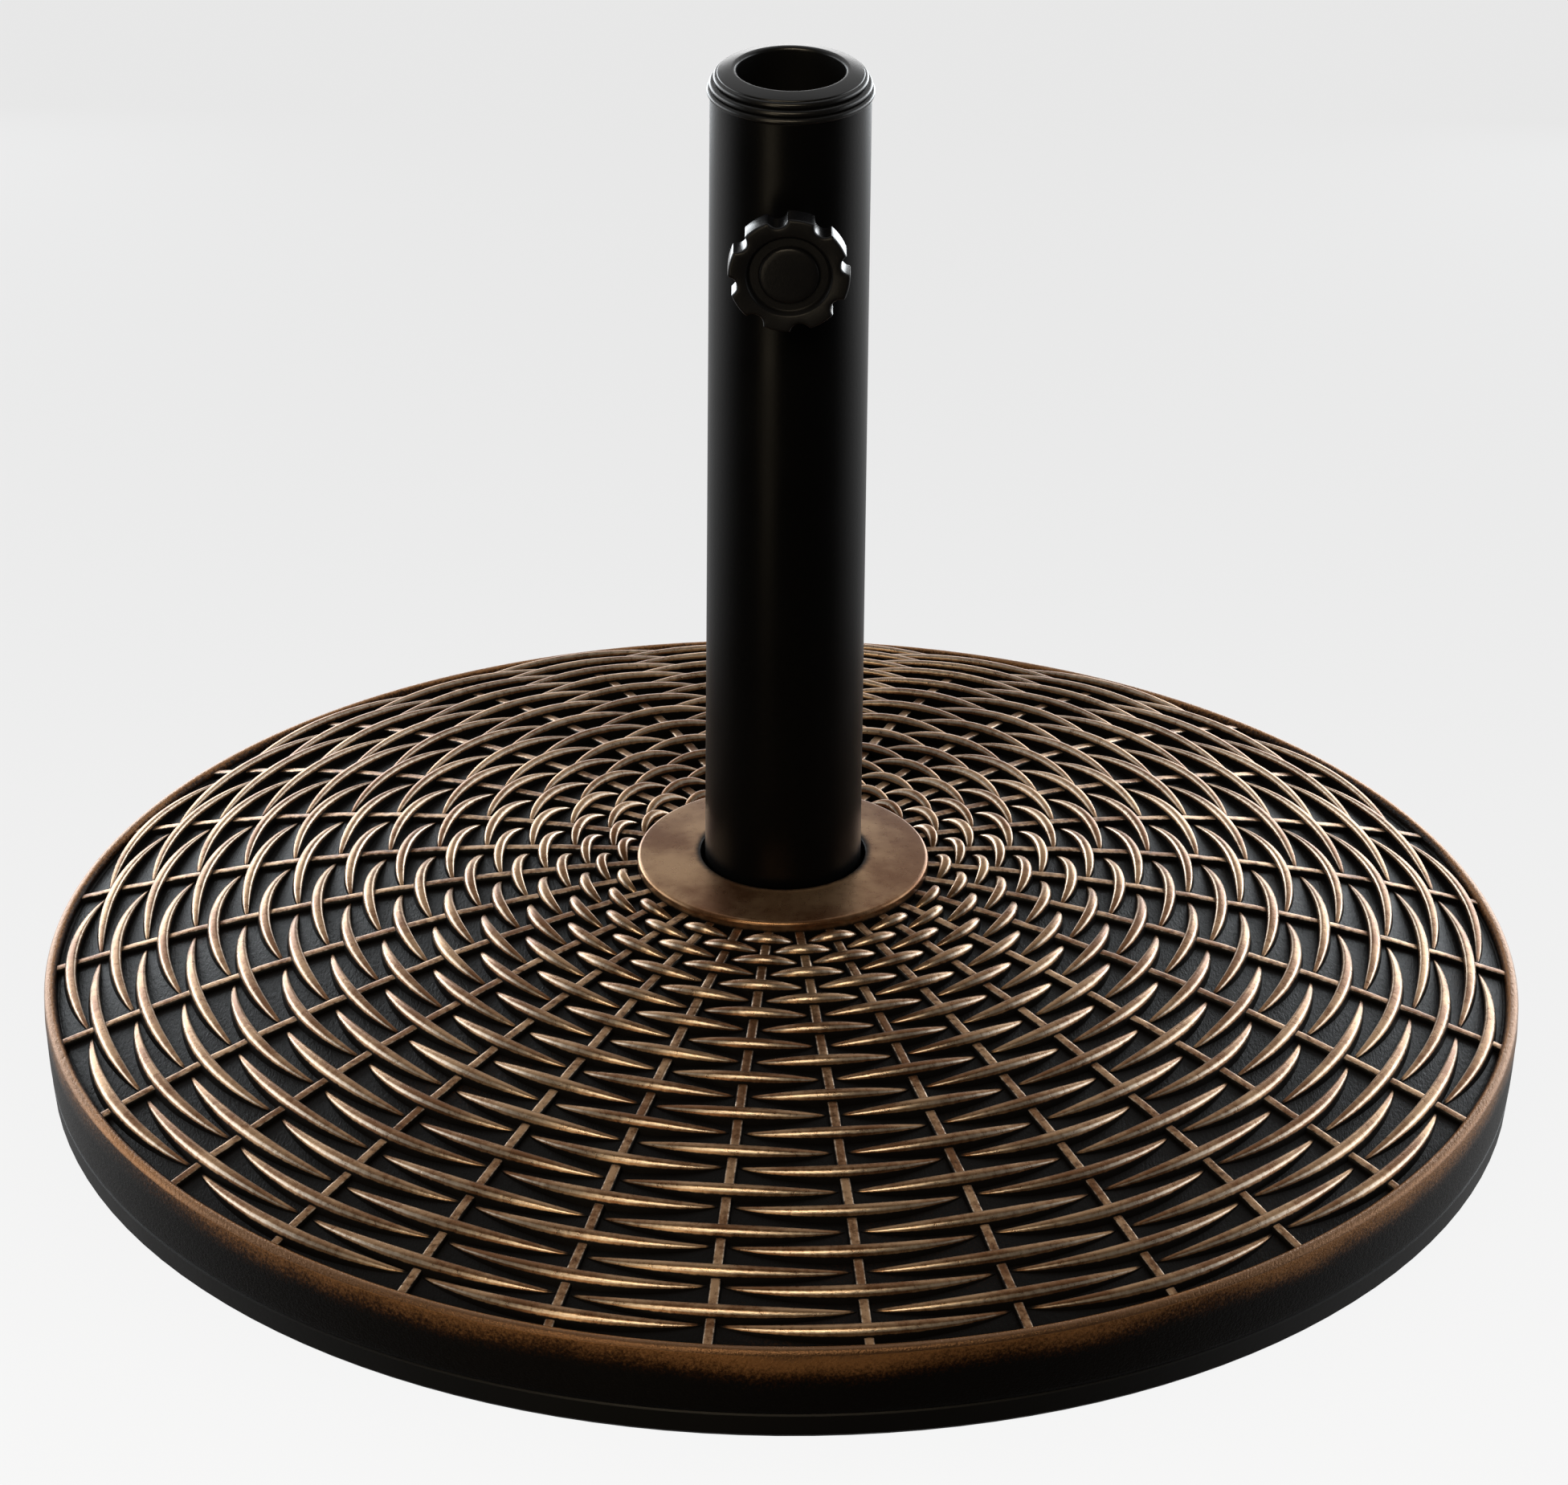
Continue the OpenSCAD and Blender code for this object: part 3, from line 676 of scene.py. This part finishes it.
def knob_body():
    """The lobed hand knob, its dished face and the collar behind it."""
    round_r = 1.1 * MM
    head_back = KNOB_FACE_Y + 9.4 * MM
    dish_r, dish_deep = 14.3 * MM, 2.2 * MM
    badge_r = 10.3 * MM
    socket_y = KNOB_FACE_Y + 3.4 * MM
    neck_r = 8.0 * MM
    bore_r = 4.0 * MM
    steps = 6
    count = KNOB_LOBES * 30
    rings = [(bore_r, KNOB_BACK_Y, None, 0.0), (neck_r - 0.5 * MM, KNOB_BACK_Y, None, 0.0)]
    rings += [(neck_r, KNOB_BACK_Y - 0.5 * MM, None, 0.0), (neck_r, head_back + 0.6 * MM, None, 0.0)]
    rings += [(neck_r + 0.6 * MM, head_back, None, 0.3), (13 * MM, head_back, None, 0.3)]
    for j in range(steps + 1):
        turn = math.radians(90 * j / steps)
        rings.append((None, head_back - round_r * (1 - math.cos(turn)), round_r * (1 - math.sin(turn)), 0.0))
    for j in range(steps + 1):
        turn = math.radians(90 * j / steps)
        front_y = KNOB_FACE_Y + round_r * (1 - math.sin(turn))
        rings.append((None, front_y, round_r * (1 - math.cos(turn)), j / steps))
    dish_y = KNOB_FACE_Y + dish_deep
    rings += [(dish_r + 0.5 * MM, KNOB_FACE_Y, None, 1.0), (dish_r, KNOB_FACE_Y + 0.35 * MM, None, 0.2)]
    rings += [(dish_r - 0.7 * MM, dish_y - 0.4 * MM, None, 0.2)]
    rings += [(dish_r - 1.2 * MM, dish_y, None, 1.0), (badge_r, dish_y, None, 1.0)]
    rings += [(badge_r, socket_y, None, 0.5), (bore_r, socket_y, None, 0.5)]
    shape = Shape()
    rows = []
    for radius, y, inset, face in rings:
        row = []
        for j in range(count):
            turn = TAU * j / count
            r = lobe_radius(turn, inset) if radius is None else radius
            row.append((about_screw(r, y, turn), face, 0.0))
        rows.append(shape.row(row))
    shape.tube(rows[::-1], loop=True)
    return shape.build("hand_knob", knob_black, "knob", ["knob_body"], sharp=38)


def knob_cap():
    """A slightly domed disc pressed into the knob's face."""
    badge_r = high("knob_cap").x
    face_y = KNOB_FACE_Y
    back_y = high("knob_cap").y
    outline = [(0, face_y)]
    for step in range(1, 7):
        r = (badge_r - 1.0 * MM) * step / 6
        outline.append((r, face_y + 0.35 * MM * (r / badge_r) ** 2))
    outline += [(badge_r - 0.35 * MM, face_y + 0.62 * MM), (badge_r, face_y + 1.1 * MM)]
    outline += [(badge_r, back_y), (0, back_y)]
    shape = Shape()
    along_screw(shape, outline, 96, lambda r, y: (0.8 if y < face_y + 0.5 * MM else 0.0, 0.0))
    return shape.build("knob_disc", knob_black, "knob", ["knob_cap"], sharp=45)


def clamp_screw():
    """A threaded shank from the knob to the clamp pad, with its hexagon head inside."""
    radius, depth, pitch = 4.0 * MM, 0.42 * MM, 1.25 * MM
    head_r, spigot_r = 7.5 * MM, 2.5 * MM
    runout = 6
    head_y = low("knob_screw").y
    shank_y = head_y + 5 * MM
    spigot_y = high("knob_screw").y
    tip_y = spigot_y - 1.6 * MM
    around, per_pitch = 36, 6
    shape = Shape()
    rows = []
    steps = int((tip_y - shank_y) / pitch * per_pitch)
    for i in range(steps + 1):
        y = shank_y + (tip_y - shank_y) * i / steps
        fade = min(1.0, i / runout, (steps - i) / runout)
        row = []
        for j in range(around):
            turn = TAU * j / around
            phase = (y / pitch + j / around) % 1.0
            r = radius - depth * fade * abs(2 * phase - 1) - 0.05 * MM
            row.append((about_screw(r, y, turn), 0.0, 0.0))
        rows.append(shape.row(row))
    shape.tube(rows)
    shape.tube([screw_circle(shape, head_r, y, 6) for y in (head_y, shank_y)])
    shape.tube([screw_circle(shape, spigot_r, y, 24) for y in (tip_y - 0.02 * MM, spigot_y)])
    return shape.build("clamp_screw", zinc, "knob", ["knob_screw"], sharp=30)


def weld_nut():
    """A hexagon nut with turned corners, standing on the tube in a bead of weld."""
    front_y = low("weld_nut").y
    back_y = -TUBE_R + 0.9 * MM
    chamfer_y = front_y + 0.9 * MM
    bore_r = 4.06 * MM
    flat_r = 6.5 * MM
    face_r = 6.4 * MM
    corner_r = flat_r / math.cos(math.radians(30))
    around = 72

    def hexagon_radius(turn):
        off = (turn + TAU / 12) % (TAU / 6) - TAU / 12
        return flat_r / math.cos(off)

    shape = Shape()
    turns = [TAU * j / around for j in range(around)]
    rows = []
    for y, limit in ((front_y, face_r), (chamfer_y, corner_r), (back_y, corner_r)):
        rows.append(shape.row(
            (about_screw(min(hexagon_radius(turn), limit), y, turn), 0.0, 0.0) for turn in turns))
    for y in (back_y, front_y):
        rows.append(screw_circle(shape, bore_r, y, around))
    shape.tube(rows, loop=True)
    draw = random.Random(5)
    weld_r = 7.7 * MM
    beads = []
    for turn in turns:
        bead = 1.35 * MM * (1 + 0.16 * math.sin(16 * turn) + 0.08 * draw.uniform(-1, 1))
        row = []
        for i in range(10):
            tilt = TAU * i / 10
            r = weld_r + bead * math.cos(tilt)
            x = r * math.cos(turn)
            y = -math.sqrt(TUBE_R ** 2 - x * x) + 0.25 * MM - bead * math.sin(tilt)
            row.append(((x, y, KNOB_Z + r * math.sin(turn)), 0.0, 0.0))
        beads.append(shape.row(row))
    shape.tube(beads, loop=True)
    return shape.build("nut_and_weld", tube_black, "base", ["weld_nut"], sharp=35)


woven_cover()
weave()
hub_ring()
pole_tube()
top_cap()
knob_body()
knob_cap()
clamp_screw()
weld_nut()

# CAD pieces that keep their shape take a finish of their own
FINISHES = {
    "bottom_pan": pan_black, "bolt_cover": pan_black, "cement_fill": cement_grey,
    "pan_screws": zinc, "anchor_bolt": zinc, "anchor_washer": zinc,
    "spring_washer": plain_steel, "tube_plug": plain_steel, "rubber_pads": rubber_dark,
    "socket_cup": inner_black, "pole_rest": inner_black, "clamp_pad": pad_nylon,
}
for node_name, finish in FINISHES.items():
    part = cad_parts[node_name]
    part.data.materials.clear()
    part.data.materials.append(finish)


# ---------------------------------------------------------------- floor, light and camera

def studio_floor():
    """A sheet of paper that glows evenly, a little less towards the back."""
    shape = Shape()
    half = 6.0
    steps = 12
    rows = []
    for i in range(steps + 1):
        y = -half + 2 * half * i / steps
        rows.append(shape.row(((-half + 2 * half * j / steps, y, 0.0), 0.0, 0.0) for j in range(steps + 1)))
    for first, second in zip(rows, rows[1:]):
        shape.join(second, first, closed=False)
    mesh = bpy.data.meshes.new("studio_floor")
    mesh.from_pydata(shape.points, [], shape.faces)
    paper = Paint("studio_paper")
    paper.set(Base_Color=rgb(0.03, 0.03, 0.03), Roughness=1.0, Specular_IOR_Level=0.0)
    back = paper.add("ShaderNodeSeparateXYZ", {0: paper.coords}).outputs[1]
    paper.set(Emission_Color=rgb(1.0, 1.0, 1.0), Emission_Strength=paper.fade(back, -0.5, 0.7, 0.92, 0.79))
    mesh.materials.append(paper.material)
    floor = bpy.data.objects.new("studio_floor", mesh)
    bpy.context.scene.collection.objects.link(floor)
    floor.visible_glossy = False
    floor.visible_diffuse = False


def softbox(name, place, aim, width, height, power, colour=(1, 1, 1)):
    lamp = bpy.data.lights.new(name, "AREA")
    lamp.shape = "RECTANGLE"
    lamp.size, lamp.size_y = width, height
    lamp.energy = power
    lamp.color = colour
    light = bpy.data.objects.new(name, lamp)
    bpy.context.scene.collection.objects.link(light)
    light.location = place
    light.rotation_euler = (Vector(aim) - Vector(place)).to_track_quat("-Z", "Y").to_euler()
    light.visible_camera = False


class Sky:
    """Short ways to add nodes to the world."""

    def __init__(self, name):
        self.world = bpy.data.worlds.new(name)
        self.world.use_nodes = True
        self.tree = self.world.node_tree

    def ramp(self, value, start, end, low_value, high_value):
        """A smooth change of a value."""
        made = self.tree.nodes.new("ShaderNodeMapRange")
        made.interpolation_type = "SMOOTHSTEP"
        limits = {"From Min": start, "From Max": end, "To Min": low_value, "To Max": high_value}
        for key, number in limits.items():
            made.inputs[key].default_value = number
        self.tree.links.new(value, made.inputs["Value"])
        return made.outputs[0]

    def math(self, operation, *values):
        made = self.tree.nodes.new("ShaderNodeMath")
        made.operation = operation
        for socket, value in zip(made.inputs, values):
            self.tree.links.new(value, socket)
        return made.outputs[0]


def studio_world():
    """White paper on the ground behind the base, a dim ceiling, and darkness in front."""
    sky = Sky("studio_world")
    bpy.context.scene.world = sky.world
    heading = sky.tree.nodes.new("ShaderNodeTexCoord").outputs["Generated"]
    axes = sky.tree.nodes.new("ShaderNodeSeparateXYZ")
    sky.tree.links.new(heading, axes.inputs[0])
    y, z = axes.outputs[1:]
    ground = sky.math("MULTIPLY", sky.ramp(z, -0.46, -0.10, 0.12, 1.0), sky.ramp(z, -0.02, 0.30, 1.0, 0.12))
    bright = sky.math("MULTIPLY", ground, sky.ramp(y, -0.40, 0.45, 0.0, 3.0))
    ceiling = sky.math("MULTIPLY", sky.ramp(y, 0.14, 0.46, 0.0, 0.28), sky.ramp(z, 0.25, 0.55, 0.0, 1.0))
    dim = sky.ramp(y, -1.0, 1.0, 0.020, 0.024)
    paper = sky.math("ADD", sky.math("ADD", bright, ceiling), dim)
    seen = sky.tree.nodes.new("ShaderNodeLightPath").outputs["Is Camera Ray"]
    choice = sky.tree.nodes.new("ShaderNodeMix")
    sky.tree.links.new(seen, choice.inputs[0])
    sky.tree.links.new(paper, choice.inputs[2])
    choice.inputs[3].default_value = 0.88
    background = sky.tree.nodes["Background"]
    sky.tree.links.new(choice.outputs[0], background.inputs["Strength"])
    background.inputs["Color"].default_value = (1, 1, 1, 1)


def studio_light():
    """Cool panels at the sides and behind, and a warm key and strip in front."""
    cool, warm = (0.88, 0.95, 1.0), (1.0, 0.83, 0.58)
    middle = (0, 0, 0.08)
    for side in (-1, 1):
        softbox("side_box", (side * 2.0, 0.4, 0.7), middle, 1.2, 1.0, 6, cool)
        softbox("back_bank", (side * 0.77, 0.85, 0.28), (side * 0.77, 0, 0.28), 0.98, 0.48, 6.5, cool)
    softbox("key_box", (-0.35, -1.8, 1.7), middle, 1.4, 0.55, 16, warm)
    softbox("strip_box", (-0.62, -1.25, 0.12), (0, 0, 0.05), 0.30, 0.9, 2.6, warm)
    studio_world()


def studio_camera():
    """The photograph's view: a long lens, tilted and rolled a little."""
    distance = 3.0639
    elevation = math.radians(29.390)
    tilt = 0.03644
    roll = 0.01058
    place = Vector((0, -distance * math.cos(elevation), distance * math.sin(elevation)))
    ahead = -place.normalized()
    ahead = (ahead + tilt * Vector((1, 0, 0)).cross(ahead)).normalized()
    right = ahead.cross(Vector((0, 0, 1))).normalized()
    up = right.cross(ahead)
    rolled_right = math.cos(roll) * right + math.sin(roll) * up
    rolled_up = math.cos(roll) * up - math.sin(roll) * right
    lens = bpy.data.cameras.new("photo_view")
    lens.sensor_fit = "HORIZONTAL"
    lens.sensor_width = 36.0
    lens.lens = 197.75
    lens.clip_end = 50.0
    camera = bpy.data.objects.new("photo_view", lens)
    bpy.context.scene.collection.objects.link(camera)
    turn = Matrix((rolled_right, rolled_up, -ahead)).transposed().to_4x4()
    camera.matrix_world = Matrix.Translation(place) @ turn
    bpy.context.scene.camera = camera


studio_floor()
studio_light()
studio_camera()
scene = bpy.context.scene
scene.view_settings.view_transform = "Standard"
scene.view_settings.look = "None"
